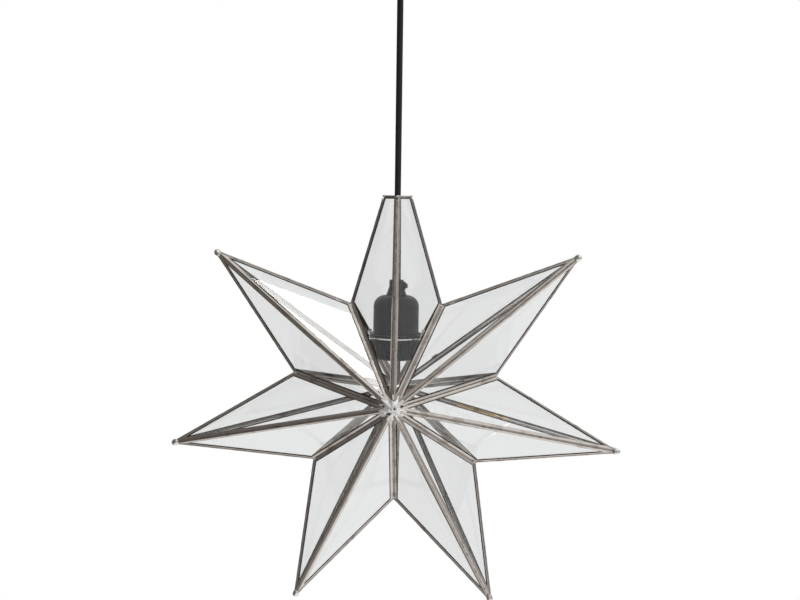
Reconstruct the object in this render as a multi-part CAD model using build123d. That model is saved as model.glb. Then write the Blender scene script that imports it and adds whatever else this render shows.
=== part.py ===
"""Moravian star pendant: a seven-pointed star of clear glass in soldered channels, on a cord.

Millimetres, +Z up. The origin is on the ceiling, at the centre of the canopy. The star faces -Y.
Point 1 is the top one, which is cut open for the cord, and the count runs clockwise from the front.
"""
from build123d import *
from math import acos, atan2, cos, degrees, hypot, radians, sin, sqrt, tan
import os

# ------------------------------------------------------------------ driving sizes: star
point_count = 7
star_radius = 225.0          # centre to a full tip
notch_radius = 100.6         # centre to the notch between two points
half_depth = 60.0            # mid-plane to the front or back hub
top_point_radius = 240.0     # centre to where the open point's edges would meet
top_cut_height = 195.0       # centre to the opening in the top point

# panes and the channels round them
glass_thickness = 1.6
channel_sheet = 0.35         # wall of the U channel
channel_face = 2.6           # width of the flange that shows
channel_bite = 0.6           # least lap of the flange over the glass
ridge_groove = 0.8           # flange edge to the sharp line of a ridge
rim_groove = 0.9             # the same on an outer rim
valley_groove = 0.3          # the same in a valley
glass_fit = 0.1              # glass to channel
joint_gap = 0.1              # channel to channel, across a joint
door_gap = 0.4               # door to its surround

# solder
bead_sides = 8               # a bead is faceted all round
bead_latitudes = (-65.0, -22.0, 22.0, 65.0)
hub_solder_radius = 8.2
hub_solder_squat = 0.9       # its height to its width
hub_solder_sink = 3.6        # hub to the middle of its lump
tip_nose_radius = 1.9        # at the nose's root
tip_collar_radius = 3.0
tip_solder_inset = 0.2       # sharp tip to the nose's flat end
tip_nose_length = 1.6
tip_solder_length = 8.5      # nose's end to collar
notch_solder_radius = 2.6
rim_solder_radius = 2.0
ear_solder_radius = 2.8
seam_solder_radius = 1.7
seam_solder_inset = 12.0     # end of the door's valley to the bead
solder_clear = 0.1           # fixed solder to the door's sector
hub_solder_clear = 0.9       # the same at the hub, where the door's corner sweeps past

# door hinge on the back ridge of the right point
knuckle_radius = 1.4
knuckle_lift = 0.14          # knuckle to the channels it turns over
hinge_start = 65.0           # hub to the first knuckle, along the ridge
fixed_knuckle_length = 12.0
door_knuckle_length = 14.0
knuckle_gap = 0.3
leaf_thickness = 0.5
leaf_edge = 0.2              # leaf's edge to the window's edge
pin_radius = 0.7
pin_fit = 0.05
pin_start = 11.0             # hub to the pin's bent end, along the ridge
pin_tail = 4.0               # reach of the bent end, from the ridge
pin_overhang = 2.0           # past the last knuckle

# turn button on the back ridge of the upper right point
latch_place = 50.0           # hub to the stud, along the ridge
stud_offset = 2.0            # ridge to the stud, on the fixed side
stud_radius = 0.9
stud_head_radius = 1.6
stud_head_height = 0.6
button_lift = 0.2            # ridge line to the button
button_thickness = 1.0
button_reach = 6.2           # stud to the button's end
button_radius = 2.0          # half its width
button_fit = 0.05            # button to stud, all round

# ------------------------------------------------------------------ driving sizes: lampholder
socket_radius = 13.3         # inside of the threaded shell, for a 27 mm lamp cap
socket_length = 23.0
shell_sheet = 0.4
shell_lip = 2.2              # inward lip at the shell's top
shell_shoulder = 0.8         # slope between the shell's wall and its lip
cap_radius = 21.4
cap_wall = 2.0
cap_height = 28.4            # straight part above the flange
shoulder_radius = 10.9
neck_radius = 6.5
neck_foot_radius = 9.4        # where the neck flares out to the shoulder
neck_height = 14.8
neck_flare = 8.5
flange_radius = 24.8
flange_thickness = 2.6
body_drop = 22.0             # plate's top to the mouth
body_rise = 14.0             # plate's top to the body's top
cap_fit = 0.35               # cap to body
thread_fit = 0.1             # body to shade ring and to plate
shell_fit = 0.05
ring_radius = 25.2           # shade ring at its top
ring_foot_radius = 20.6
ring_height = 16.5
ring_lip = 2.5               # straight edge at its top
ring_rib_count = 24
ring_rib_radius = 1.1
core_flange = 4.0
core_flange_radius = 18.4
core_recess_radius = 6.5
core_recess_depth = 2.2      # holds the contact clear of the lamp's way in
contact_sheet = 0.5
contact_width = 4.0
contact_reach = 5.5
contact_spring = 1.6
plate_height = 60.0          # star's centre to the plate's top
plate_thickness = 1.2
plate_radius = 26.3
ear_width = 5.0
ear_tab_height = 4.0
ear_gap = 0.15               # ear to the channels it is soldered to
screw_height = 9.2           # shoulder to the clamp screw
screw_radius = 1.3
screw_head_radius = 2.2
screw_head_length = 2.0
screw_boss_radius = 4.0
screw_boss_length = 1.9      # past the neck
screw_slot = 0.6
screw_fit = 0.05

# ------------------------------------------------------------------ driving sizes: cord and ceiling
cord_radius = 3.0
cord_fit = 0.08              # cord to the bores that it passes
cord_drop = 276.0            # free length, grip to neck
swing_angle = 20.0           # each way
bend_slit = 1.0              # half the slit between the stretches of cord at the bend
bend_fit = 0.1               # slit to the strands that bridge it
canopy_radius = 45.0
canopy_height = 30.0
canopy_wall = 1.2
canopy_rounding = 6.0
bracket_width = 16.0
bracket_sheet = 1.5
bracket_tab = 13.0
ceiling_hole_radius = 2.25
ceiling_hole_spacing = 54.0
canopy_screw_depth = 8.0     # ceiling to the screws
canopy_screw_radius = 1.5
canopy_screw_head = 2.8
grip_stem_radius = 5.0
grip_stem_rise = 6.5         # above the canopy's floor
grip_collar_radius = 8.5
grip_collar_height = 3.0
grip_nose_radius = 6.2
grip_nose_height = 5.5
mouth_depth = 3.2            # grip's lower end to the point that the cord bends at
mouth_clear = 0.3
nut_across = 14.0
nut_height = 3.0
block_length = 20.0
block_width = 12.0
block_height = 12.0
block_hole_radius = 1.6

# ------------------------------------------------------------------ worked-out sizes
channel_height = glass_thickness + 2 * (glass_fit + channel_sheet)
half_step = 180.0 / point_count
door_points = (1, 2)         # upper right and right, counted from 0 at the top

body_radius = cap_radius - cap_wall - cap_fit
shell_radius = socket_radius + shell_sheet
body_bore = shell_radius + shell_fit
body_foot = plate_height - body_drop
body_top = plate_height + body_rise
socket_foot = body_foot + 2.0
socket_top = socket_foot + socket_length
flange_top = plate_height + flange_thickness
cap_top = flange_top + cap_height - flange_thickness
shoulder_top = cap_top + shoulder_radius
neck_top = shoulder_top + neck_height
neck_floor = shoulder_top - cap_wall
screw_level = shoulder_top + screw_height

cord_bore = cord_radius + cord_fit
grip_foot = canopy_height + grip_collar_height + grip_nose_height
bend_depth = grip_foot - mouth_depth
star_depth = grip_foot + cord_drop + neck_top
hang = Pos(0, 0, -star_depth)


# ------------------------------------------------------------------ helpers
def point_angle(index):
    """Direction of a point in the star's plane, in degrees from +X towards +Z."""
    return 90.0 - index * 2 * half_step


def in_star_plane(angle, radius):
    return Vector(radius * cos(radians(angle)), 0, radius * sin(radians(angle)))


def between(start, end, share):
    return start + (end - start) * share


def polygon(corners):
    return make_face(Polyline(*corners, close=True))


def prism(corners, low, high):
    """Straight-sided block on a flat outline, between two heights."""
    return extrude(Pos(0, 0, low) * polygon(corners), high - low, dir=(0, 0, 1))


def moved_in(corners, distances):
    """Corners of an anticlockwise outline with each edge moved inwards by its own distance."""
    lines = []
    for place, distance in enumerate(distances):
        start = corners[place]
        end = corners[(place + 1) % len(corners)]
        along = (end - start).normalized()
        inward = Vector(-along.Y, along.X)
        lines.append((start + inward * distance, along))
    crossings = []
    for place in range(len(lines)):
        start, along = lines[place - 1]
        other, across = lines[place]
        gap = other - start
        share = (gap.X * across.Y - gap.Y * across.X) / (along.X * across.Y - along.Y * across.X)
        crossings.append(start + along * share)
    return crossings


def turned(*edges):
    """Solid of revolution round Z from a closed profile in (radius, height)."""
    return revolve(Plane.XZ * make_face(Curve() + list(edges)), Axis.Z)


def turned_corners(*corners):
    return revolve(Plane.XZ * polygon(corners), Axis.Z)


def tube(outer, inner, low, high):
    return turned_corners((inner, low), (outer, low), (outer, high), (inner, high))


def biggest(shape):
    """The main solid of a cut, without loose crumbs."""
    return max(shape.solids(), key=lambda solid: solid.volume)


def bead(centre, axis, *rings):
    """Faceted bead round an axis, through rings of (radius, height over the centre)."""
    place = Plane(centre, z_dir=axis)
    wires = [place * Pos(0, 0, high) * RegularPolygon(radius, bead_sides) for radius, high in rings]
    return Solid.make_loft([wire.wire() for wire in wires], ruled=True)


def drop(radius, centre, axis=(0, 0, 1), squat=1.0):
    """Round bead, flattened along its axis where squat is under 1."""
    rings = []
    for latitude in bead_latitudes:
        lift = squat * radius * sin(radians(latitude))
        rings.append((radius * cos(radians(latitude)), lift))
    return bead(centre, axis, *rings)


# ------------------------------------------------------------------ panes
class Pane:
    """One pane of the star with its channel.

    index is its point, turn is +1 on the clockwise side of the point's ridge and -1 on the other,
    and facing is -1 at the front and +1 at the back.
    """

    def __init__(self, index, turn, facing):
        self.index = index
        self.turn = turn
        self.facing = facing
        self.is_door = facing > 0 and (index, turn) in ((door_points[0], 1), (door_points[1], -1))
        self.own_gap = door_gap if self.is_door else joint_gap / 2
        angle = point_angle(index)
        self.mirrors = {"ridge": in_star_plane(angle + 90.0, 1.0), "rim": Vector(0, 1, 0)}
        hub = Vector(0, facing * half_depth, 0)
        notch = in_star_plane(angle - turn * half_step, notch_radius)
        if index == 0:
            tip = in_star_plane(angle, top_point_radius)
            ridge_end = between(hub, tip, top_cut_height / tip.Z)
            rim_end = between(notch, tip, (top_cut_height - notch.Z) / (tip.Z - notch.Z))
            corners = [hub, ridge_end, rim_end, notch]
            kinds = ["ridge", "cut", "rim", "valley"]
        else:
            corners = [hub, in_star_plane(angle, star_radius), notch]
            kinds = ["ridge", "rim", "valley"]
        normal = (corners[1] - hub).cross(notch - hub).normalized()
        if normal.dot(hub) < 0:
            normal = -normal
            corners.reverse()
            kinds = kinds[-2::-1] + kinds[-1:]
        self.normal = normal
        self.kinds = kinds
        self.hub_distance = normal.dot(hub)
        self.plane = Plane(corners[0], corners[1] - corners[0], normal)
        self.outline = [self.plane.to_local_coords(corner) for corner in corners]

    def outer_inset(self, kind):
        return {"ridge": ridge_groove, "rim": rim_groove, "valley": valley_groove, "cut": 0.0}[kind]

    def inner_inset(self, kind, gap):
        """Set-back of the inner face's edge, where two panes meet in a mitre."""
        if kind not in self.mirrors:
            return self.outer_inset(kind)
        lean = abs(self.normal.dot(self.mirrors[kind]))
        return (channel_height * lean + gap) / sqrt(1 - lean ** 2)

    def slot_inset(self, kind):
        deepest = max(self.outer_inset(kind), self.inner_inset(kind, self.own_gap))
        return deepest + channel_sheet

    def window_inset(self, kind):
        return max(self.outer_inset(kind) + channel_face, self.slot_inset(kind) + channel_bite)

    def inset_outline(self, rule):
        return moved_in(self.outline, [rule(kind) for kind in self.kinds])

    def blank(self, gap):
        """The channel's outer shape, unhollowed, with mitred sides where panes meet."""
        outer = polygon(self.inset_outline(self.outer_inset))
        inner = polygon(self.inset_outline(lambda kind: self.inner_inset(kind, gap)))
        lower = Pos(0, 0, -channel_height) * inner
        return self.plane * Solid.make_loft([lower.wire(), outer.wire()], ruled=True)

    def channel(self):
        window = prism(self.inset_outline(self.window_inset), -channel_height - 1, 1)
        slot = prism(
            self.inset_outline(self.slot_inset), channel_sheet - channel_height, -channel_sheet
        )
        return self.blank(self.own_gap) - self.plane * window - self.plane * slot

    def glass(self):
        outline = self.inset_outline(lambda kind: self.slot_inset(kind) + glass_fit)
        top = -channel_sheet - glass_fit
        return self.plane * prism(outline, top - glass_thickness, top)


panes = [
    Pane(index, turn, facing)
    for index in range(point_count)
    for facing in (-1, 1)
    for turn in (-1, 1)
]


# ------------------------------------------------------------------ solder
def door_sector(side_clear):
    """The space behind the mid-plane between the two ridges that the door meets."""
    reach = 2 * star_radius
    middle = point_angle(door_points[0]) - half_step
    apex = in_star_plane(middle, -side_clear / sin(radians(half_step)))
    sides = [apex + in_star_plane(middle + turn * half_step, reach) for turn in (-1, 1)]
    sector = polygon([(corner.X, corner.Z) for corner in [apex] + sides])
    behind = Plane((0, -solder_clear, 0), (1, 0, 0), (0, -1, 0))
    return behind * extrude(sector, -2 * half_depth, dir=(0, 0, 1))


def fitted(lump, near):
    """Solder that lies on the fixed panes near it and fills the grooves between them."""
    fixed = [pane.blank(0.0) for pane in near if not pane.is_door]
    return biggest(lump - door_sector(solder_clear) - fixed)


def pyramid(facing):
    """One half of the star, as if it were solid and had no grooves."""
    corners = []
    for index in range(point_count):
        tip_radius = top_point_radius if index == 0 else star_radius
        corners.append(in_star_plane(point_angle(index), tip_radius))
        corners.append(in_star_plane(point_angle(index) - half_step, notch_radius))
    outline = Polyline(*corners, close=True).wire()
    return Solid.make_loft([outline, Vertex(0, facing * half_depth, 0)], ruled=True)


def hub_solder(facing):
    centre = Vector(0, facing * (half_depth - hub_solder_sink), 0)
    lump = drop(hub_solder_radius, centre, (0, 1, 0), hub_solder_squat)
    return biggest(lump - pyramid(facing) - door_sector(hub_solder_clear))


def tip_solder():
    """Tapered beads on the six full tips, each turned round its point's own axis."""
    rings = [
        (tip_collar_radius, -tip_solder_length),
        (tip_nose_radius, -tip_nose_length),
        (tip_nose_radius / 2, 0.0),
    ]
    beads = []
    for index in range(1, point_count):
        angle = point_angle(index)
        centre = in_star_plane(angle, star_radius - tip_solder_inset)
        near = [pane for pane in panes if pane.index == index]
        beads.append(fitted(bead(centre, in_star_plane(angle, 1.0), *rings), near))
    return beads


def round_notch(index):
    """The four panes that meet in the notch on the clockwise side of a point."""
    following = (index + 1) % point_count
    return [pane for pane in panes if (pane.index, pane.turn) in ((index, 1), (following, -1))]


def notch_solder():
    return [
        fitted(
            drop(
                notch_solder_radius,
                in_star_plane(point_angle(index) - half_step, notch_radius),
                (0, 1, 0),
            ),
            round_notch(index),
        )
        for index in range(point_count)
    ]


def top_rim_solder():
    """Beads on the four corners of the opening in the top point."""
    share = top_cut_height / top_point_radius
    rim_half = notch_radius * sin(radians(half_step)) * (top_point_radius - top_cut_height) / (
        top_point_radius - notch_radius * cos(radians(half_step))
    )
    ridge_half = half_depth * (1 - share)
    corners = [(rim_half, 0), (-rim_half, 0), (0, ridge_half), (0, -ridge_half)]
    near = [pane for pane in panes if pane.index == 0]
    return [fitted(drop(rim_solder_radius, Vector(x, y, top_cut_height)), near) for x, y in corners]


def door_seam_solder():
    """Beads in the outer valley of the door, near both its ends."""
    hub = Vector(0, half_depth, 0)
    notch = in_star_plane(point_angle(door_points[0]) - half_step, notch_radius)
    share = seam_solder_inset / (notch - hub).length
    beads = []
    for place in (share, 1 - share):
        lump = drop(seam_solder_radius, between(hub, notch, place))
        beads.append(biggest(lump - [pane.blank(0.0) for pane in panes if pane.is_door]))
    return beads


# ------------------------------------------------------------------ back door: hinge and turn button
class Ridge:
    """A back ridge: its run, and a cross-section with u across it and v straight out."""

    def __init__(self, index):
        self.index = index
        hub = Vector(0, half_depth, 0)
        self.start = hub
        self.along = (in_star_plane(point_angle(index), star_radius) - hub).normalized()
        across = in_star_plane(point_angle(index) + 90.0, 1.0)
        self.door_side = 1 if index == door_points[1] else -1
        self.across = across * self.door_side
        out = self.along.cross(self.across)
        self.out = out if out.Y > 0 else -out
        pane = next(pane for pane in panes if pane.index == index and pane.facing > 0)
        lean = abs(pane.normal.dot(across))
        self.pane_cos = lean                         # of the angle between pane and v
        self.pane_sin = sqrt(1 - lean ** 2)
        self.window = pane.window_inset("ridge")

    def point(self, run, u=0.0, v=0.0):
        return self.start + self.along * run + self.across * u + self.out * v

    def section(self, run):
        """Plane across the ridge, with x along u, so that a solid can be drawn along the ridge."""
        return Plane(self.point(run), self.across, self.along)

    def outward(self, plane_point):
        """Section coordinates, with the sign of y that the section plane needs."""
        u, v = plane_point
        upward = self.along.cross(self.across).dot(self.out)
        return (u, v * upward)

    def on_pane(self, side, distance, height=0.0):
        """Section point at a distance from the ridge along a pane, and a height above the pane."""
        u = distance * self.pane_sin + height * self.pane_cos
        v = height * self.pane_sin - distance * self.pane_cos
        return (side * u, v)


hinge_ridge = Ridge(door_points[1])
latch_ridge = Ridge(door_points[0])
groove_edge = hinge_ridge.on_pane(1, ridge_groove)
hinge_height = sqrt((knuckle_radius + knuckle_lift) ** 2 - groove_edge[0] ** 2) + groove_edge[1]
knuckle_bore = pin_radius + pin_fit


def knuckle(run, length, side):
    """A hinge knuckle with the leaf that is soldered to the channel on one side of the ridge."""
    ridge = hinge_ridge
    axis = (0, hinge_height)
    corners = [
        axis,
        ridge.on_pane(side, ridge_groove),
        ridge.on_pane(side, ridge.window - leaf_edge),
        ridge.on_pane(side, ridge.window - leaf_edge, leaf_thickness),
    ]
    leaf = polygon([ridge.outward(corner) for corner in corners])
    centre = ridge.outward(axis)
    barrel = Pos(*centre) * Circle(knuckle_radius)
    bore = Pos(*centre) * Circle(knuckle_bore)
    return ridge.section(run) * extrude(leaf + barrel - bore, length)


first_knuckle = hinge_start
door_knuckle_start = hinge_start + fixed_knuckle_length + knuckle_gap
last_knuckle = door_knuckle_start + door_knuckle_length + knuckle_gap
hinge_end = last_knuckle + fixed_knuckle_length


def frame_knuckles():
    return [knuckle(run, fixed_knuckle_length, -1) for run in (first_knuckle, last_knuckle)]


def door_knuckle():
    return [knuckle(door_knuckle_start, door_knuckle_length, 1)]


def hinge_pin():
    """Wire through the knuckles, with its end near the hub bent down beside the ridge."""
    ridge = hinge_ridge
    tail_end = ridge.on_pane(-1, pin_tail, pin_radius + pin_fit)
    path = Polyline(
        ridge.point(pin_start, *tail_end),
        ridge.point(pin_start, 0, hinge_height),
        ridge.point(hinge_end + pin_overhang, 0, hinge_height),
    )
    section = Plane(path @ 0, z_dir=path % 0) * Circle(pin_radius)
    return [sweep(section, path, transition=Transition.RIGHT)]


def latch_plane(v):
    """Plane at a height above the ridge line, at the stud, with x along the ridge."""
    ridge = latch_ridge
    return Plane(ridge.point(latch_place, -stud_offset, v), ridge.along, ridge.out)


button_top = button_lift + button_thickness


def latch_stud():
    shank_top = button_top + button_fit
    deep = stud_offset / latch_ridge.pane_sin + channel_height
    shank = latch_plane(-deep) * extrude(Circle(stud_radius), deep + shank_top)
    head = latch_plane(shank_top) * extrude(Circle(stud_head_radius), stud_head_height)
    under = [pane.blank(0.0) for pane in panes if pane.index == latch_ridge.index]
    pieces = (shank + head - under).solids()
    return [max(pieces, key=lambda piece: piece.center().dot(latch_ridge.out))]


def latch_button():
    """Button turned aside, along the ridge: a quarter turn brings it over the door's edge."""
    far = button_reach - button_radius
    arm = Rectangle(far, 2 * button_radius, align=(Align.MIN, Align.CENTER))
    ends = Circle(button_radius) + Pos(far, 0) * Circle(button_radius)
    outline = arm + ends - Circle(stud_radius + button_fit)
    return [latch_plane(button_lift) * extrude(outline, button_thickness)]


# ------------------------------------------------------------------ lampholder
def holder_cap():
    inner = cap_radius - cap_wall
    turn = shoulder_radius * sqrt(0.5)
    arc_x = cap_radius - shoulder_radius
    inner_turn = (shoulder_radius - cap_wall) * sqrt(0.5)
    flare_top = shoulder_top + neck_flare
    shell = turned(
        Line((inner, flange_top), (cap_radius, flange_top)),
        Line((cap_radius, flange_top), (cap_radius, cap_top)),
        ThreePointArc(
            (cap_radius, cap_top), (arc_x + turn, cap_top + turn), (arc_x, shoulder_top)
        ),
        Line((arc_x, shoulder_top), (neck_foot_radius, shoulder_top)),
        Line((neck_foot_radius, shoulder_top), (neck_radius, flare_top)),
        Line((neck_radius, flare_top), (neck_radius, neck_top)),
        Line((neck_radius, neck_top), (cord_bore, neck_top)),
        Line((cord_bore, neck_top), (cord_bore, neck_floor)),
        Line((cord_bore, neck_floor), (arc_x, neck_floor)),
        ThreePointArc(
            (arc_x, neck_floor), (arc_x + inner_turn, cap_top + inner_turn), (inner, cap_top)
        ),
        Line((inner, cap_top), (inner, flange_top)),
    )
    boss_length = neck_radius - cord_bore + screw_boss_length
    boss = Plane((cord_bore, 0, screw_level), (0, 1, 0), (1, 0, 0)) * extrude(
        Circle(screw_boss_radius), boss_length
    )
    bore = Pos(0, 0, neck_floor) * extrude(Circle(cord_bore), neck_top - neck_floor)
    screw_hole = Plane((0, 0, screw_level), (0, 1, 0), (1, 0, 0)) * extrude(
        Circle(screw_radius + screw_fit), 2 * neck_radius
    )
    return [shell + boss - bore - screw_hole]


def neck_screw():
    """Clamp screw in the neck's right side, with a slotted head."""
    seat = neck_radius + screw_boss_length
    axis = Plane((cord_bore, 0, screw_level), (0, 1, 0), (1, 0, 0))
    shank = axis * extrude(Circle(screw_radius), seat - cord_bore)
    head = Plane((seat, 0, screw_level), (0, 1, 0), (1, 0, 0)) * extrude(
        Circle(screw_head_radius), screw_head_length
    )
    slot_place = Pos(seat + screw_head_length, 0, screw_level)
    slot = slot_place * Box(2 * screw_slot, 3 * screw_head_radius, screw_slot)
    return [shank + head - slot]


def holder_body():
    """Sleeve round the threaded shell, with the flange that sits on the plate."""
    seat = socket_top
    return [
        turned_corners(
            (body_bore, body_foot),
            (body_radius - 1.0, body_foot),
            (body_radius, body_foot + 1.0),
            (body_radius, plate_height),
            (flange_radius, plate_height),
            (flange_radius, flange_top),
            (body_radius, flange_top),
            (body_radius, body_top),
            (body_bore, body_top),
            (body_bore, seat),
        )
    ]


def thread_shell():
    lip = socket_radius - shell_lip
    wall_top = socket_top - shell_sheet - shell_shoulder
    return [
        turned_corners(
            (socket_radius, socket_foot),
            (shell_radius, socket_foot),
            (shell_radius, wall_top),
            (shell_radius - shell_shoulder, socket_top),
            (lip, socket_top),
            (lip, socket_top - shell_sheet),
            (socket_radius - shell_shoulder, socket_top - shell_sheet),
            (socket_radius, wall_top),
        )
    ]


def holder_core():
    """Insulating plug on the shell's top, with a flange on the body's upper end."""
    plug = body_bore - shell_fit
    recess_top = socket_top + core_recess_depth
    return [
        turned_corners(
            (0, recess_top),
            (core_recess_radius, recess_top),
            (core_recess_radius, socket_top),
            (plug, socket_top),
            (plug, body_top),
            (core_flange_radius, body_top),
            (core_flange_radius, body_top + core_flange),
            (0, body_top + core_flange),
        )
    ]


def centre_contact():
    """Sprung tongue in the core's recess, lower in the middle."""
    top = socket_top + core_recess_depth
    profile = [
        (-contact_reach, top),
        (-contact_reach, top - contact_sheet),
        (-contact_reach / 2, top - contact_sheet),
        (0, top - contact_spring - contact_sheet),
        (contact_sheet, top - contact_spring - contact_sheet),
        (contact_sheet, top - contact_spring),
        (contact_sheet / 2, top - contact_spring),
        (-contact_reach / 2 + contact_sheet / 2, top),
    ]
    strip = Plane.XZ * polygon(profile)
    return [extrude(strip, contact_width / 2, both=True)]


def shade_ring():
    """Ribbed ring that screws up the body and clamps the plate against the flange."""
    top = plate_height - plate_thickness
    bore = body_radius + thread_fit
    cone = turned_corners(
        (bore, top - ring_height),
        (ring_foot_radius, top - ring_height),
        (ring_radius, top - ring_lip),
        (ring_radius, top),
        (bore, top),
    )
    low = Vector(ring_foot_radius, 0, top - ring_height)
    high = Vector(ring_radius, 0, top - ring_lip)
    slope = (high - low).normalized()
    start = low - slope * ring_rib_radius
    section = RegularPolygon(ring_rib_radius, 4)
    groove = Plane(start, (0, 1, 0), slope) * extrude(section, (high - low).length)
    grooves = [Rot(0, 0, 360.0 * turn / ring_rib_count) * groove for turn in range(ring_rib_count)]
    return [cone - grooves]


def valley_spot(height):
    """Where the top point's clockwise front valley line is at a height above the centre."""
    notch = in_star_plane(point_angle(0) - half_step, notch_radius)
    return between(notch, Vector(0, -half_depth, 0), 1 - height / notch.Z)


def ear_end():
    """Reach and direction of an ear: to the top point's channel beside the valley line."""
    foot = plate_height - plate_thickness
    spot = valley_spot(foot)
    reach = hypot(spot.X, spot.Y)
    toward = Vector(spot.X / reach, spot.Y / reach, 0)
    pane = next(pane for pane in round_notch(0) if pane.index == 0 and pane.facing < 0)
    inner_distance = pane.hub_distance - channel_height - ear_gap
    reach = (inner_distance - pane.normal.Z * foot) / pane.normal.dot(toward)
    return reach, degrees(atan2(toward.Y, toward.X))


def ear_angles():
    angle = ear_end()[1]
    return (angle, -angle, 180 - angle, 180 + angle)


def top_panes():
    """The panes that the plate's ears and their solder lie against."""
    return [pane for pane in panes if pane.index in (0, 1, point_count - 1)]


def ears():
    """Strips out to the valleys, each with a tab turned up at its end and cut to the channels."""
    reach = ear_end()[0]
    inner = plate_radius - plate_thickness
    foot = plate_height - plate_thickness
    strip = Pos(inner, 0, foot) * Box(
        reach - inner, ear_width, plate_thickness, align=(Align.MIN, Align.CENTER, Align.MIN)
    )
    tab = Pos(reach, 0, foot) * Box(
        plate_thickness,
        ear_width,
        plate_thickness + ear_tab_height,
        align=(Align.MAX, Align.CENTER, Align.MIN),
    )
    blanks = [pane.blank(0.0) for pane in top_panes()]
    return [biggest(Rot(0, 0, turn) * (strip + tab) - blanks) for turn in ear_angles()]


def holder_plate():
    foot = plate_height - plate_thickness
    ring = tube(plate_radius, body_radius + 2 * thread_fit, foot, plate_height)
    return [ring + ears()]


def ear_solder():
    """Beads in the corners between the ears' tabs and the valley channels."""
    reach = ear_end()[0]
    blanks = [pane.blank(0.0) for pane in top_panes()]
    beads = []
    for turn in ear_angles():
        centre = Vector(reach * cos(radians(turn)), reach * sin(radians(turn)), plate_height)
        beads.append(biggest(drop(ear_solder_radius, centre) - blanks - ears()))
    return beads


# ------------------------------------------------------------------ cord and ceiling fitting
steepest_lean = acos(cos(radians(swing_angle)) ** 2)     # swung both ways at once


def mouth_radius(depth):
    """Half-width that the swinging cord needs, at a depth below its bend."""
    return cord_radius / cos(steepest_lean) + depth * tan(steepest_lean) + mouth_clear


def pendant_cord():
    """The free cord, from the bend in the grip's mouth down into the neck of the lampholder."""
    top = -bend_depth - bend_slit
    foot = neck_floor - star_depth
    return [Pos(0, 0, foot) * extrude(Circle(cord_radius), top - foot)]


def cord_bend():
    """The strands that bridge the slit at the cord's bend."""
    return [drop(bend_slit - bend_fit, Vector(0, 0, -bend_depth))]


def cord_tail():
    """The cord's end in the canopy, from the bend up into the terminal block."""
    foot = bend_slit - bend_depth
    top = -bracket_sheet - block_height
    return [Pos(0, 0, foot) * extrude(Circle(cord_radius), top - foot)]


def canopy():
    """Cup against the ceiling, rounded below, with holes for the grip and its two screws."""
    outer = Cylinder(canopy_radius, canopy_height, align=(Align.CENTER, Align.CENTER, Align.MAX))
    outer = fillet(outer.edges().sort_by(Axis.Z)[0], canopy_rounding)
    inner = Cylinder(
        canopy_radius - canopy_wall,
        canopy_height - canopy_wall,
        align=(Align.CENTER, Align.CENTER, Align.MAX),
    )
    inner = chamfer(inner.edges().sort_by(Axis.Z)[0], canopy_rounding / 2)
    stem_hole = Pos(0, 0, -canopy_height) * Cylinder(grip_stem_radius + thread_fit, 4 * canopy_wall)
    screw_holes = Pos(0, 0, -canopy_screw_depth) * Rot(0, 90, 0) * Cylinder(
        canopy_screw_radius + screw_fit, 3 * canopy_radius
    )
    return [outer - inner - stem_hole - screw_holes]


bracket_half = canopy_radius - canopy_wall - thread_fit


def ceiling_bracket():
    """Strap against the ceiling, with down-turned tabs that the canopy's screws enter."""
    below = (Align.CENTER, Align.CENTER, Align.MAX)
    bracket = Box(2 * bracket_half, bracket_width, bracket_sheet, align=below)
    bracket = bracket & Cylinder(bracket_half, bracket_sheet, align=below)
    edge = sqrt(bracket_half ** 2 - (bracket_width / 2) ** 2)
    for side in (-1, 1):
        middle = side * (edge - bracket_sheet / 2)
        bracket = bracket + Pos(middle, 0, 0) * Box(
            bracket_sheet, bracket_width, bracket_tab, align=below
        )
        hole = Pos(side * ceiling_hole_spacing / 2, 0, 0) * Cylinder(
            ceiling_hole_radius, 4 * bracket_sheet
        )
        bracket = bracket - hole
    screw_holes = Pos(0, 0, -canopy_screw_depth) * Rot(0, 90, 0) * Cylinder(
        canopy_screw_radius + screw_fit, 3 * canopy_radius
    )
    return [bracket - screw_holes]


def canopy_screws():
    length = canopy_wall + thread_fit + 3 * bracket_sheet
    inward = (Align.CENTER, Align.CENTER, Align.MAX)
    screws = []
    for side in (0, 180):
        axis = Rot(0, 0, side) * Pos(canopy_radius, 0, -canopy_screw_depth) * Rot(0, 90, 0)
        shank = axis * Cylinder(canopy_screw_radius, length, align=inward)
        head = axis * Cone(
            canopy_screw_head,
            canopy_screw_radius,
            canopy_screw_radius,
            align=(Align.CENTER, Align.CENTER, Align.MIN),
        )
        screws.append(shank + head)
    return screws


def cord_grip():
    """Gland with a bell mouth, so that the cord can swing."""
    foot = -grip_foot
    collar_foot = -canopy_height - grip_collar_height
    relief = mouth_radius(0.0)
    relief_top = -bend_depth + bend_slit + cord_radius * sin(steepest_lean)
    return [
        turned_corners(
            (mouth_radius(mouth_depth), foot),
            (grip_nose_radius, foot),
            (grip_collar_radius, collar_foot),
            (grip_collar_radius, -canopy_height),
            (grip_stem_radius, -canopy_height),
            (grip_stem_radius, grip_stem_rise - canopy_height),
            (cord_bore, grip_stem_rise - canopy_height),
            (cord_bore, relief_top),
            (relief, relief_top),
            (relief, -bend_depth),
        )
    ]


def grip_nut():
    base = canopy_wall - canopy_height
    hexagon = RegularPolygon(nut_across / 2, 6, major_radius=False)
    nut = Pos(0, 0, base) * extrude(hexagon, nut_height)
    bore = Pos(0, 0, base) * Cylinder(grip_stem_radius + shell_fit, 3 * nut_height)
    return [nut - bore]


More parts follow.
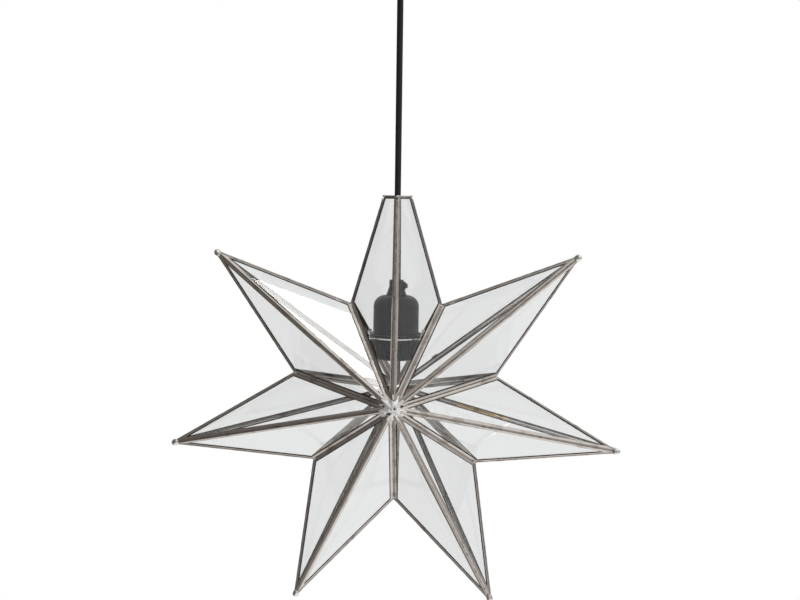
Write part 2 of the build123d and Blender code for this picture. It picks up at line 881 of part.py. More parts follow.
def terminal_block():
    """Two-way block under the bracket, with the cord entering from below."""
    block = Pos(0, 0, -bracket_sheet) * Box(
        block_length, block_width, block_height, align=(Align.CENTER, Align.CENTER, Align.MAX)
    )
    for side in (-1, 1):
        place = Pos(side * block_length / 4, 0, -bracket_sheet - block_height / 2)
        block = block - place * Rot(90, 0, 0) * Cylinder(block_hole_radius, 2 * block_width)
    return [block]


# ------------------------------------------------------------------ nodes
nodes = {}
for index in range(point_count):
    for name, facing in (("front", -1), ("back", 1)):
        own = [p for p in panes if p.index == index and p.facing == facing and not p.is_door]
        nodes[f"point_{index + 1}_{name}_glass"] = [hang * pane.glass() for pane in own]
        nodes[f"point_{index + 1}_{name}_came"] = [hang * pane.channel() for pane in own]

door_panes = [pane for pane in panes if pane.is_door]
star_parts = {
    "door_glass": [pane.glass() for pane in door_panes],
    "door_came": [pane.channel() for pane in door_panes],
    "door_seam_solder": door_seam_solder(),
    "door_knuckle": door_knuckle(),
    "frame_knuckles": frame_knuckles(),
    "hinge_pin": hinge_pin(),
    "latch_stud": latch_stud(),
    "latch_button": latch_button(),
    "front_hub_solder": [hub_solder(-1)],
    "back_hub_solder": [hub_solder(1)],
    "tip_solder": tip_solder(),
    "notch_solder": notch_solder(),
    "top_rim_solder": top_rim_solder(),
    "holder_plate": holder_plate(),
    "ear_solder": ear_solder(),
    "holder_cap": holder_cap(),
    "neck_screw": neck_screw(),
    "holder_body": holder_body(),
    "holder_core": holder_core(),
    "thread_shell": thread_shell(),
    "centre_contact": centre_contact(),
    "shade_ring": shade_ring(),
}
for name, solids in star_parts.items():
    nodes[name] = [hang * solid for solid in solids]

nodes["pendant_cord"] = pendant_cord()
nodes["cord_bend"] = cord_bend()
nodes["cord_tail"] = cord_tail()
nodes["canopy"] = canopy()
nodes["ceiling_bracket"] = ceiling_bracket()
nodes["canopy_screws"] = canopy_screws()
nodes["cord_grip"] = cord_grip()
nodes["grip_nut"] = grip_nut()
nodes["terminal_block"] = terminal_block()

os.makedirs("parts", exist_ok=True)
for name, shapes in nodes.items():
    solids = [solid for shape in shapes for solid in shape.solids()]
    export_step(solids[0] if len(solids) == 1 else Compound(solids), f"parts/{name}.step")
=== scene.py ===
"""Looks of the moravian star pendant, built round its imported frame.

Metres, +Z up, with the origin on the ceiling. The star faces -Y, and its points are counted from 0
at the top, clockwise from the front.
"""
import bmesh
import bpy
from math import atan2, ceil, cos, degrees, hypot, pi, radians, sin, sqrt
from mathutils import Matrix, Vector, noise


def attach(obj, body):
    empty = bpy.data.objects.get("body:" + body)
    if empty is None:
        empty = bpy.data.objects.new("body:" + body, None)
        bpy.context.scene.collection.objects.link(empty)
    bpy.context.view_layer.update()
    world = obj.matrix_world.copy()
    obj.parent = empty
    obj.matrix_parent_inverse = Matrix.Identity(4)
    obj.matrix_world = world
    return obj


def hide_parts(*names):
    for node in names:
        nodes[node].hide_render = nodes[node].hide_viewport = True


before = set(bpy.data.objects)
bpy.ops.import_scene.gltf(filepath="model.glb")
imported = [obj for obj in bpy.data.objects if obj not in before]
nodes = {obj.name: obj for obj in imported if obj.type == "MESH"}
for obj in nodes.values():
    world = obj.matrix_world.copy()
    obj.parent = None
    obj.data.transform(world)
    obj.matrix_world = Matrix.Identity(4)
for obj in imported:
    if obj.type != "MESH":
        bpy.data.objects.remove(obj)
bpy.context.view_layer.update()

MM = 0.001

# ------------------------------------------------------------------ sizes shared with the solids
DEEP = Vector((0, 1, 0))                # from the front to the back
POINT_COUNT = 7
HALF_STEP = 180.0 / POINT_COUNT
STAR_RADIUS = 225.0 * MM
NOTCH_RADIUS = 100.6 * MM
HALF_DEPTH = 60.0 * MM
TOP_POINT_RADIUS = 240.0 * MM
TOP_CUT = 195.0 * MM
STAR_CENTRE = Vector((0, 0, -428.6 * MM))
GLASS_THICKNESS = 1.6 * MM
GLASS_FIT = 0.1 * MM
CHANNEL_WALL = 0.35 * MM
CHANNEL_HEIGHT = GLASS_THICKNESS + 2 * (GLASS_FIT + CHANNEL_WALL)
CHANNEL_GAP = {"star": 0.05 * MM, "door": 0.4 * MM}
GROOVE = {"ridge": 0.8 * MM, "rim": 0.9 * MM, "valley": 0.3 * MM, "cut": 0.0}
DOOR_UPPER, DOOR_LOWER = 1, 2           # the two points that have a back pane in the door
DOOR_PANES = ((DOOR_UPPER, 1, 1), (DOOR_LOWER, -1, 1))      # point, turn to its side, facing
BEND_Z = -35.3 * MM
NECK_TOP_Z = -314.5 * MM
NECK_FLOOR_Z = -331.3 * MM
CORD_RADIUS = 3.0 * MM
BLOCK_FOOT_Z = -13.5 * MM

# From each seam to the glass. The solids have it wider on rims, narrower on ridges and in valleys.
FACE = {"ridge": 4.0 * MM, "rim": 2.3 * MM, "valley": 3.3 * MM, "cut": 2.6 * MM}


# ------------------------------------------------------------------ materials
class Tree:
    """A material's or the world's nodes, with short calls to add and join them."""

    def __init__(self, owner):
        owner.use_nodes = True
        self.nodes = owner.node_tree.nodes
        self.links = owner.node_tree.links

    def add(self, kind, inputs=(), **settings):
        node = self.nodes.new(kind)
        for name, value in settings.items():
            setattr(node, name, value)
        for name, value in dict(inputs).items():
            self.give(node, name, value)
        return node

    def give(self, node, name, value):
        if isinstance(value, bpy.types.NodeSocket):
            self.links.new(value, node.inputs[name])
        else:
            node.inputs[name].default_value = value

    def place(self, stretch=(1, 1, 1)):
        """Object coordinates, stretched."""
        coordinates = self.add("ShaderNodeTexCoord").outputs["Object"]
        return self.add("ShaderNodeMapping", {"Vector": coordinates, "Scale": stretch}).outputs[0]

    def noise(self, scale, detail=3.0, roughness=0.55, stretch=(1, 1, 1)):
        return self.add("ShaderNodeTexNoise", {
            "Vector": self.place(stretch), "Scale": scale, "Detail": detail, "Roughness": roughness,
        }).outputs["Fac"]

    def spread(self, value, low, high, to_low=0.0, to_high=1.0):
        return self.add("ShaderNodeMapRange", {
            "Value": value, "From Min": low, "From Max": high, "To Min": to_low, "To Max": to_high,
        }, interpolation_type="SMOOTHSTEP").outputs["Result"]

    def blend(self, share, first, second):
        mix = self.add("ShaderNodeMix", data_type="RGBA")
        for place, value in ((0, share), (6, first), (7, second)):
            self.give(mix, place, value)
        return mix.outputs[2]

    def math(self, operation, *values):
        node = self.add("ShaderNodeMath", operation=operation)
        for place, value in enumerate(values):
            self.give(node, place, value)
        return node.outputs[0]

    def bump(self, height, depth, onto=None):
        """Normal from a height of 0 to 1 that stands for a depth in metres."""
        values = {"Height": height, "Strength": 1.0, "Distance": depth}
        if onto is not None:
            values["Normal"] = onto
        return self.add("ShaderNodeBump", values).outputs["Normal"]

    def rays(self):
        """1 for what is seen, directly or through glass, and 1 for what is mirrored."""
        path = self.add("ShaderNodeLightPath").outputs
        seen = self.math("MAXIMUM", path["Is Camera Ray"], path["Is Transmission Ray"])
        return seen, path["Is Glossy Ray"]


def colour(red, green, blue):
    return (red, green, blue, 1.0)


def principled(name, **inputs):
    material = bpy.data.materials.new(name)
    tree = Tree(material)
    shader = tree.nodes["Principled BSDF"]
    for key, value in inputs.items():
        shader.inputs[key.replace("_", " ")].default_value = value
    return material, tree, shader


PATCH_NOISE = (0.62, 0.78)              # where dull patches begin, and where they are whole
FLECK_NOISE = (0.60, 0.72)
FLECK_SCALE, SOFT_SCALE, GRAIN_SCALE = 14, 3, 30       # times that of the patches
FLECK_TONE, FLECK_ROUGHNESS = 0.35, 0.3
SOFT_DEPTH = 3                          # times that of the grain


def metal(name, bright, dull, patch_scale, dull_share, rough, grain_depth, fleck=0.25, metallic=1.0):
    """Metal with dull patches, darker flecks, fine grain and a soft unevenness."""
    material, tree, shader = principled(name, Metallic=metallic)
    begun, whole = PATCH_NOISE
    patches = tree.spread(tree.noise(patch_scale, 4.0, 0.6), begun - dull_share, whole - dull_share / 2)
    flecks = tree.spread(tree.noise(patch_scale * FLECK_SCALE, 2.0, 0.7), *FLECK_NOISE, 0.0, fleck)
    tone = tree.blend(patches, colour(*bright), colour(*dull))
    tone = tree.blend(flecks, tone, colour(*(FLECK_TONE * part for part in dull)))
    tree.give(shader, "Base Color", tone)
    worn = tree.math("MULTIPLY", flecks, FLECK_ROUGHNESS)
    tree.give(shader, "Roughness", tree.math("ADD", tree.spread(patches, 0.0, 1.0, *rough), worn))
    soft = tree.bump(tree.noise(patch_scale * SOFT_SCALE, 3.0), grain_depth * SOFT_DEPTH)
    grain = tree.noise(patch_scale * GRAIN_SCALE, 2.0)
    tree.give(shader, "Normal", tree.bump(grain, grain_depth, soft))
    return material


def glass():
    """Clear sheet, faintly grey, with the slight waviness of drawn glass."""
    material, tree, shader = principled(
        "clear_glass", Base_Color=colour(0.884, 0.889, 0.887), Transmission_Weight=1.0, IOR=1.5,
    )
    film = tree.spread(tree.noise(22.0, 3.0, 0.6), 0.55, 0.8, 0.0, 0.01)
    tree.give(shader, "Roughness", film)
    tree.give(shader, "Normal", tree.bump(tree.noise(14.0, 1.0), 0.02 * MM))
    return material


def black_plastic():
    """Moulded plastic: satin, with fine grain and faint paler scuffs."""
    material, tree, shader = principled("black_plastic", IOR=1.5, Specular_IOR_Level=0.2)
    scuffs = tree.spread(tree.noise(90.0, 5.0, 0.7, (1, 1, 0.25)), 0.58, 0.8, 0.0, 0.35)
    tree.give(shader, "Base Color", tree.blend(scuffs, colour(.006, .006, .0065), colour(.018, .017, .016)))
    tree.give(shader, "Roughness", tree.spread(tree.noise(140.0, 3.0), 0.3, 0.7, 0.34, 0.5))
    tree.give(shader, "Normal", tree.bump(tree.noise(2600.0, 2.0), 0.02 * MM))
    return material


def ceramic():
    material, tree, shader = principled("unglazed_ceramic", IOR=1.5)
    specks = tree.spread(tree.noise(900.0, 3.0), 0.55, 0.75)
    tree.give(shader, "Base Color", tree.blend(specks, colour(.80, .78, .73), colour(.62, .58, .52)))
    tree.give(shader, "Roughness", tree.spread(specks, 0.0, 1.0, 0.6, 0.8))
    tree.give(shader, "Normal", tree.bump(tree.noise(1500.0), 0.05 * MM))
    return material


def canopy_paint():
    """Satin black powder coat, with the fine orange peel of such paint."""
    material, tree, shader = principled("satin_black_paint", IOR=1.5, Coat_Weight=0.2)
    dust = tree.spread(tree.noise(60.0, 4.0), 0.55, 0.8, 0.0, 0.4)
    tree.give(shader, "Base Color", tree.blend(dust, colour(.019, .019, .021), colour(.04, .039, .038)))
    tree.give(shader, "Roughness", tree.spread(dust, 0.0, 0.4, 0.36, 0.5))
    tree.give(shader, "Normal", tree.bump(tree.noise(700.0, 2.0), 0.03 * MM))
    return material


def cord_jacket():
    """Black jacket with a fine twist under a smooth skin."""
    material, tree, shader = principled("cord_jacket", IOR=1.5)
    dust = tree.spread(tree.noise(120.0, 3.0, 0.6, (1, 1, 0.3)), 0.5, 0.8, 0.0, 0.5)
    tree.give(shader, "Base Color", tree.blend(dust, colour(.009, .0085, .008), colour(.02, .018, .017)))
    tree.give(shader, "Roughness", tree.spread(dust, 0.0, 0.5, 0.42, 0.55))
    twist = tree.add("ShaderNodeTexWave", {
        "Vector": tree.place((1, 1, 0.4)), "Scale": 220.0, "Distortion": 1.5, "Detail": 1.0,
    }, wave_type="BANDS", bands_direction="DIAGONAL").outputs["Fac"]
    tree.give(shader, "Normal", tree.bump(twist, 0.03 * MM))
    return material


def lip_shade_and_pit_solder():
    """Dark, half-matt solder: painted shade along the channels' lips, and the dark of the hub solder's
    deepest pits.
    """
    material, tree, shader = principled("dark_solder_for_lip_shade_and_pits", Metallic=0.7)
    bare = tree.spread(tree.noise(420.0, 4.0, 0.65), 0.56, 0.76, 0.0, 0.8)
    tree.give(shader, "Base Color", tree.blend(bare, colour(.045, .036, .030), colour(.20, .165, .135)))
    tree.give(shader, "Roughness", tree.spread(bare, 0.0, 1.0, 0.5, 0.34))
    tree.give(shader, "Normal", tree.bump(tree.noise(900.0, 3.0), 0.08 * MM))
    return material


finishes = {
    "glass": glass(),
    "came": metal("nickel_silver", (.63, .585, .535), (.38, .33, .285), 55.0, .12, (.16, .32), .006 * MM),
    # Painted shade: a darker copy of the channels' metal, for their faces turned to the star's middle.
    "came_shaded_inside": metal(
        "nickel_silver_painted_shade", (.37, .35, .325), (.21, .19, .17), 55.0, .16, (.3, .45), .003 * MM,
    ),
    "solder": metal("bright_solder", (.84, .81, .77), (.46, .41, .37), 260.0, .08, (.10, .26), .02 * MM),
    "hub_solder": metal(
        "hub_solder", (.95, .925, .9), (.7, .65, .6), 300.0, .06, (.14, .34), .02 * MM,
        fleck=.2, metallic=.65,
    ),
    "seam_solder": metal("seam_solder", (.46, .42, .38), (.2, .17, .145), 160.0, .16, (.2, .4), .02 * MM),
    "rim_solder": metal("rim_solder", (.52, .48, .44), (.25, .22, .19), 110.0, .16, (.16, .34), .02 * MM),
    "brass": metal("brass", (.72, .53, .27), (.36, .25, .12), 110.0, .15, (.2, .38), .006 * MM),
    "copper": metal("copper", (.80, .42, .24), (.40, .19, .10), 200.0, .12, (.18, .34), .006 * MM),
    "steel": metal("plated_steel", (.74, .74, .73), (.46, .45, .44), 80.0, .12, (.2, .36), .005 * MM),
    "black_steel": metal(
        "black_steel", (.07, .068, .066), (.03, .028, .027), 80.0, .12, (.3, .45), .005 * MM,
    ),
    "black_plastic": black_plastic(),
    "insulation": ceramic(),
    "canopy_paint": canopy_paint(),
    "cord": cord_jacket(),
    "lip_shade_and_pit_solder": lip_shade_and_pit_solder(),
}

NAME_ENDINGS = {
    "black_steel": ("neck_screw",),
    "glass": ("_glass",),
    "came": ("_came",),
    "solder": ("_solder",),
    "brass": ("_knuckle", "_knuckles", "_contact", "_shell", "_stud", "_button"),
    "steel": ("_plate", "_screw", "_screws", "_bracket", "_nut"),
    "black_plastic": ("_cap", "_body", "_ring", "_grip", "_block"),
    "insulation": ("_core",),
    "copper": ("_pin",),
    "canopy_paint": ("canopy",),
    "cord": ("_cord", "_tail", "_bend"),
}


def finish_of(name):
    """The finish of a node, by the end of its name."""
    return next(finish for finish, endings in NAME_ENDINGS.items() if name.endswith(endings))


def dress(piece, finish):
    """Puts one finish on every face of a piece."""
    if piece.material_slots:
        for slot in piece.material_slots:
            slot.material = finishes[finish]
    else:
        piece.data.materials.append(finishes[finish])


for node_name, node in nodes.items():
    dress(node, finish_of(node_name))


# ------------------------------------------------------------------ helpers for pieces
WELD = 0.001 * MM


def put(name, data):
    """An object in the scene, made from its data."""
    thing = bpy.data.objects.new(name, data)
    bpy.context.scene.collection.objects.link(thing)
    return thing


def settle(piece, body, replaced=()):
    """Says what a piece rides on, and hides the nodes it replaces."""
    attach(piece, body)
    if replaced:
        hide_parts(*replaced)


def new_piece(name, shape, body, finish, replaced=(), smooth=True):
    """A mesh object from a bmesh or from (corners, faces), dressed and riding on a body."""
    mesh = bpy.data.meshes.new(name)
    if not isinstance(shape, bmesh.types.BMesh):
        corners, faces = shape
        mesh.from_pydata(corners, [], faces)
        shape = bmesh.new()
        shape.from_mesh(mesh)
    bmesh.ops.recalc_face_normals(shape, faces=shape.faces)
    shape.to_mesh(mesh)
    shape.free()
    if smooth:
        mesh.shade_smooth()
    else:
        mesh.shade_flat()
    piece = put(name, mesh)
    dress(piece, finish)
    settle(piece, body, replaced)
    return piece


def curve_piece(name, points, radius, finish):
    """Round cord or wire on one smooth line."""
    curve = bpy.data.curves.new(name, "CURVE")
    curve.dimensions = "3D"
    curve.bevel_depth = radius
    curve.bevel_resolution = 8
    curve.use_fill_caps = True
    spline = curve.splines.new("NURBS")
    spline.points.add(len(points) - 1)
    for point, place in zip(spline.points, points):
        point.co = (*place, 1.0)
    spline.order_u = 3
    spline.use_endpoint_u = True
    spline.resolution_u = 12
    piece = put(name, curve)
    dress(piece, finish)
    return piece


def round_edges(piece, width):
    rounding = piece.modifiers.new("rounding", "BEVEL")
    rounding.width, rounding.segments = width, 2


def uneven(spot, share, grain):
    """A factor that wanders round 1 by a share, faster with a higher grain."""
    return 1 + share * noise.noise(spot * grain)


def grid_faces(rows, columns, first=0, closed=True):
    """Faces of a grid of corners, row after row, closed round its columns or not."""
    faces = []
    for row in range(rows - 1):
        for column in range(columns if closed else columns - 1):
            following = (column + 1) % columns
            low, high = first + row * columns, first + (row + 1) * columns
            faces.append((low + column, low + following, high + following, high + column))
    return faces


def closed_faces(rows, columns):
    """Faces of a tube of corners, row after row, with a face over each end."""
    last = (rows - 1) * columns
    ends = [tuple(range(columns))[::-1], tuple(range(last, last + columns))]
    return grid_faces(rows, columns) + ends


def lathed(profile, place, sides, wobble=0.0, seed=0.0, grain=400.0):
    """Closed turned shape through (radius, height) pairs, with an uneven surface, in a frame."""
    corners = []
    for radius, height in profile:
        for side in range(sides):
            angle = 2 * pi * side / sides
            spot = Vector((radius * cos(angle), radius * sin(angle), height))
            stretch = 1 + wobble * noise.noise(spot * grain + Vector((seed, seed, seed)))
            corners.append(place @ Vector((spot.x * stretch, spot.y * stretch, spot.z)))
    return corners, closed_faces(len(profile), sides)


def joined(*parts):
    corners, faces = [], []
    for part_corners, part_faces in parts:
        first = len(corners)
        corners.extend(part_corners)
        faces.extend(tuple(first + place for place in face) for face in part_faces)
    return corners, faces


# ------------------------------------------------------------------ the star's shape
def point_angle(index):
    return 90.0 - index * 2 * HALF_STEP


def in_star(angle, radius):
    """A point by its direction and distance in the star's plane."""
    turn = radians(angle)
    return STAR_CENTRE + Vector((radius * cos(turn), 0, radius * sin(turn)))


def tip_of(index):
    return in_star(point_angle(index), STAR_RADIUS if index else TOP_POINT_RADIUS)


def notch_of(index, turn):
    return in_star(point_angle(index) - turn * HALF_STEP, NOTCH_RADIUS)


def hub_of(facing):
    return STAR_CENTRE + DEEP * facing * HALF_DEPTH


def ridge_end(index, facing):
    """Where a ridge ends: at its point's tip, or on the top point at the cut."""
    tip = tip_of(index)
    return tip if index else hub_of(facing).lerp(tip, TOP_CUT / TOP_POINT_RADIUS)


def rim_end(index, turn):
    """Where a rim ends: at its point's tip, or on the top point at the cut."""
    notch, tip = notch_of(index, turn), tip_of(index)
    rise = notch.z - STAR_CENTRE.z
    return tip if index else notch.lerp(tip, (TOP_CUT - rise) / (TOP_POINT_RADIUS - rise))


def pane_normal(index, turn, facing):
    hub = hub_of(facing)
    normal = (tip_of(index) - hub).cross(notch_of(index, turn) - hub).normalized()
    return normal if normal.dot(hub - STAR_CENTRE) > 0 else -normal


def body_of(pane):
    return "door" if pane in DOOR_PANES else "star"


def pane_middle(index, turn, facing):
    return (hub_of(facing) + tip_of(index) + notch_of(index, turn)) / 3


def in_pane(pane, spot, along, inset, depth):
    """A place beside a spot on a pane's seam, by its distance from the seam and its depth."""
    normal = pane_normal(*pane)
    inward = normal.cross(along).normalized()
    if inward.dot(pane_middle(*pane) - spot) < 0:
        inward = -inward
    return spot + inward * inset - normal * depth


def outline_radius(angle):
    """Distance from the centre to the star's outline, in a direction."""
    step = 2 * HALF_STEP
    index = round((90.0 - angle) / step) % POINT_COUNT
    off = abs((angle - point_angle(index) + 180.0) % 360.0 - 180.0)
    tip = STAR_RADIUS if index else TOP_POINT_RADIUS
    whole, part = radians(HALF_STEP), radians(off)
    across = NOTCH_RADIUS * sin(whole - part) + tip * sin(part)
    return tip * NOTCH_RADIUS * sin(whole) / across


def surface_depth(x, z):
    """Half thickness of the solid star at a place in its plane."""
    return HALF_DEPTH * (1 - hypot(x, z) / outline_radius(degrees(atan2(z, x))))


def seams():
    """Each ridge and valley with solder in its groove: its kind, body, ends and two panes."""
    found = []
    for index in range(POINT_COUNT):
        for facing in (-1, 1):
            hub = hub_of(facing)
            if facing < 0 or index not in (DOOR_UPPER, DOOR_LOWER):
                pair = ((index, -1, facing), (index, 1, facing))
                found.append(("ridge", "star", hub, ridge_end(index, facing), pair))
            pair = ((index, 1, facing), ((index + 1) % POINT_COUNT, -1, facing))
            found.append(("valley", body_of(pair[0]), hub, notch_of(index, 1), pair))
    return found


# ------------------------------------------------------------------ cross-sections at the seams
def mirror_lean(kind, pane):
    """Share of a pane's normal that points across the plane it is mirrored in, at a ridge or rim."""
    across = DEEP if kind == "rim" else in_star(point_angle(pane[0]) + 90, 1.0) - STAR_CENTRE
    return abs(pane_normal(*pane).dot(across))


def mirror_inset(kind, pane, depth):
    """Distance from a ridge or rim to the gap at its mirror plane, at a depth under a pane's face."""
    lean = mirror_lean(kind, pane)
    return (depth * lean + CHANNEL_GAP[body_of(pane)]) / sqrt(1 - lean ** 2)


def inner_inset(kind, pane):
    """Distance from a seam to the edge of its channel's inner face."""
    return GROOVE[kind] if kind in ("valley", "cut") else mirror_inset(kind, pane, CHANNEL_HEIGHT)


def wall_inset(kind, pane, depth):
    """Distance from a seam to its channel's wall, at a depth under the outer face."""
    return GROOVE[kind] + (inner_inset(kind, pane) - GROOVE[kind]) * depth / CHANNEL_HEIGHT


def slot_inset(kind, pane):
    """Distance from a seam to the floor of its channel's slot."""
    return max(GROOVE[kind], inner_inset(kind, pane)) + CHANNEL_WALL


# ------------------------------------------------------------------ solder down in the grooves
FILL_SINK = {"ridge": 0.45 * MM, "valley": 0.55 * MM}
FILL_FOOT = {"ridge": 2.3 * MM, "valley": 1.3 * MM}
FILL_END = {"ridge": 4.0 * MM, "valley": 3.0 * MM}       # short of the seam's ends
FILL_LAP = 0.05 * MM
FILL_STEP = 5.0 * MM
FILL_UNEVEN = (0.35, 160.0)             # share and grain


def fill_section(kind, pair, spot, along, sink):
    """Four corners of the fill at a spot on its seam, round its section."""
    top, foot = [
        [in_pane(pane, spot, along, wall_inset(kind, pane, depth) + FILL_LAP, depth) for pane in pair]
        for depth in (sink, FILL_FOOT[kind])
    ]
    return top + foot[::-1]


def groove_fill(kind, start, end, pair):
    """Uneven strip of solder along a seam, a little under the channels' faces."""
    along = (end - start).normalized()
    start, end = start + along * FILL_END[kind], end - along * FILL_END[kind]
    steps = ceil((end - start).length / FILL_STEP)
    corners = []
    for step in range(steps + 1):
        spot = start.lerp(end, step / steps)
        corners += fill_section(kind, pair, spot, along, FILL_SINK[kind] * uneven(spot, *FILL_UNEVEN))
    return corners, closed_faces(steps + 1, 4)


def make_groove_fills():
    parts = {}
    for kind, body, start, end, pair in seams():
        parts.setdefault(body, []).append(groove_fill(kind, start, end, pair))
    for body, found in parts.items():
        new_piece(f"{body}_groove_fill", joined(*found), body, "seam_solder", smooth=False)


# ------------------------------------------------------------------ channels and panes
CROWN_RISE = 0.4 * MM
CROWN_ROWS = 9
CROWN_LEAN = 0.6                        # under 1, the crown is highest near the seam
CROWN_UNEVEN = (0.3, 70.0)
CROWN_CREASE = 40.0                     # degrees, from which an edge is sharp
INNER_ROWS = 6                          # of a cross-section, after its outer face
RIDGE_LIFT = 0.06 * MM
RIDGE_OVERRUN = {"star": 0.8 * MM, "door": -GROOVE["rim"]}       # past the rim, at the tips
TIP_STOP = {"star": 2.5 * MM, "door": 8.0 * MM}   # short of the tip; the door clears the tips' solder
STRIP_STEP = 7.0 * MM
# The dark line along a channel's lips, where they meet the glass, is painted shade.
LIP_SHADE_REACH = 0.45 * MM
LIP_SHADE_SINK = 0.05 * MM


def pane_outline(index, turn, facing):
    """A pane's corners, and the kind of the edge that starts at each."""
    hub, notch = hub_of(facing), notch_of(index, turn)
    if index:
        return [hub, tip_of(index), notch], ["ridge", "rim", "valley"]
    return [hub, ridge_end(0, facing), rim_end(0, turn), notch], ["ridge", "cut", "rim", "valley"]


def moved_in(corners, normal, insets):
    """Corners of an outline whose edges are each moved inwards by a distance."""
    middle = sum(corners, Vector()) / len(corners)
    inwards = []
    for start, end in zip(corners, corners[1:] + corners[:1]):
        inward = normal.cross(end - start).normalized()
        inwards.append(inward if inward.dot(middle - start) > 0 else -inward)
    found = []
    for place, corner in enumerate(corners):
        before, after = inwards[place - 1], inwards[place]
        far_before, far_after = insets[place - 1], insets[place]
        lean = before.dot(after)
        whole = 1 - lean ** 2
        found.append(corner + before * (far_before - lean * far_after) / whole
                     + after * (far_after - lean * far_before) / whole)
    return found


def channel_rows(kind, pane):
    """Cross-section of a channel, as insets from its seam and heights, crowned face first."""
    edge, face = GROOVE[kind], FACE[kind]
    lift = RIDGE_LIFT if kind == "ridge" else 0.0
    rows = []
    for row in range(CROWN_ROWS):
        share = row / (CROWN_ROWS - 1)
        rise = sin(pi * share ** CROWN_LEAN) if row < CROWN_ROWS - 1 else 0.0
        rows.append((edge + (face - edge) * share, lift + CROWN_RISE * rise))
    rows.append((face, -CHANNEL_WALL))
    under = (wall_inset(kind, pane, CHANNEL_WALL), -CHANNEL_WALL)
    if kind == "rim":                   # no inner leg, but as many rows as its neighbours
        return rows + [under] * INNER_ROWS
    slot, foot = slot_inset(kind, pane), CHANNEL_WALL - CHANNEL_HEIGHT
    rows += [(slot, -CHANNEL_WALL), (slot, foot), (face, foot), (face, -CHANNEL_HEIGHT)]
    return rows + [(inner_inset(kind, pane), -CHANNEL_HEIGHT), under]


def lip_shade_rows(kind, pane):
    """Cross-sections of the dark line of painted shade between a channel's lips and the glass, outside and
    inside.
    """
    face, bed = FACE[kind], CHANNEL_WALL + GLASS_FIT
    outer = [(face, -LIP_SHADE_SINK), (face + LIP_SHADE_REACH, -bed), (face, -bed)]
    inner = [(inset, -CHANNEL_HEIGHT - height) for inset, height in outer]
    return outer, inner


def held_back(spot, tip, root, stop):
    """A spot moved back along an edge until it is short of the tip."""
    along = (tip - root).normalized()
    return spot - along * max(0.0, (spot - tip).dot(along) + stop)


def strip(pane, place, sections, overrun=False):
    """Cross-section drawn along a pane's edge, from mitre to mitre, or its outer face past the rim."""
    corners, kinds = pane_outline(*pane)
    normal, body, rim = pane_normal(*pane), body_of(pane), kinds.index("rim")
    following = (place + 1) % len(corners)
    stop = TIP_STOP[body] if overrun or body == "door" else 0.0
    lines = []
    for row, (_, height) in enumerate(sections[kinds[place]]):
        insets = [sections[kind][row][0] for kind in kinds]
        if overrun and row <= CROWN_ROWS:
            insets[rim] = -RIDGE_OVERRUN[body]
        elif place != rim:
            insets[rim] = max(insets[rim], mirror_inset("rim", pane, max(0.0, -height)))
        outline = moved_in(corners, normal, insets)
        if pane[0]:
            root = corners[0] if place == 0 else corners[2]
            outline[1] = held_back(outline[1], corners[1], root, stop)
        lines.append((outline[place], outline[following], height))
    steps = max(2, ceil((corners[following] - corners[place]).length / STRIP_STEP))
    spots = []
    for step in range(steps + 1):
        for start, end, height in lines:
            spot = start.lerp(end, step / steps)
            rise = height * uneven(spot, *CROWN_UNEVEN) if height > 0 else height
            spots.append(spot + normal * rise)
    return spots, closed_faces(steps + 1, len(lines))


def pane_channels(pane):
    """The channels of a pane, and the dark lines of painted shade along their lips."""
    _, kinds = pane_outline(*pane)
    rows = {kind: channel_rows(kind, pane) for kind in kinds}
    outer, inner = [{kind: lip_shade_rows(kind, pane)[side] for kind in kinds} for side in (0, 1)]
    channels, lines = [], []
    for place, kind in enumerate(kinds):
        channels.append(strip(pane, place, rows, kind == "ridge"))
        lines.append(strip(pane, place, outer))
        if kind != "rim":
            lines.append(strip(pane, place, inner))
    return joined(*channels), joined(*lines)


def pane_glass(pane):
    """Sheet of glass, with its edge mitred at the rim."""
    corners, kinds = pane_outline(*pane)
    normal = pane_normal(*pane)
    spots = []
    for depth in (CHANNEL_WALL + GLASS_FIT, CHANNEL_WALL + GLASS_FIT + GLASS_THICKNESS):
        edges = [slot_inset(kind, pane) for kind in kinds]
        edges[kinds.index("rim")] = mirror_inset("rim", pane, depth)
        outline = moved_in(corners, normal, [edge + GLASS_FIT for edge in edges])
        spots += [spot - normal * depth for spot in outline]
    return spots, closed_faces(2, len(corners))


def make_panes():
    for body, first_word in (("star", "point_"), ("door", "door_")):
        panes = [
            (index, turn, facing)
            for index in range(POINT_COUNT) for turn in (-1, 1) for facing in (-1, 1)
            if body_of((index, turn, facing)) == body
        ]
        solids = [name for name in nodes if name.startswith(first_word)]
        channels, lip_shade_lines = zip(*[pane_channels(pane) for pane in panes])
        piece = new_piece(
            f"{body}_channels", joined(*channels), body, "came",
            replaced=[name for name in solids if name.endswith("_came")],
        )
        piece.data.set_sharp_from_angle(angle=radians(CROWN_CREASE))
        # Faces turned to the star's middle take the darker copy of the metal: painted shade.
        piece.data.materials.append(finishes["came_shaded_inside"])
        for face in piece.data.polygons:
            face.material_index = int(face.normal.dot(face.center - STAR_CENTRE) < 0)
        # Dark lines of painted shade where the channels' lips meet the glass.
        new_piece(f"{body}_putty", joined(*lip_shade_lines), body, "lip_shade_and_pit_solder", smooth=False)
        new_piece(
            f"{body}_panes", joined(*[pane_glass(pane) for pane in panes]), body, "glass",
            replaced=[name for name in solids if name.endswith("_glass")], smooth=False,
        )


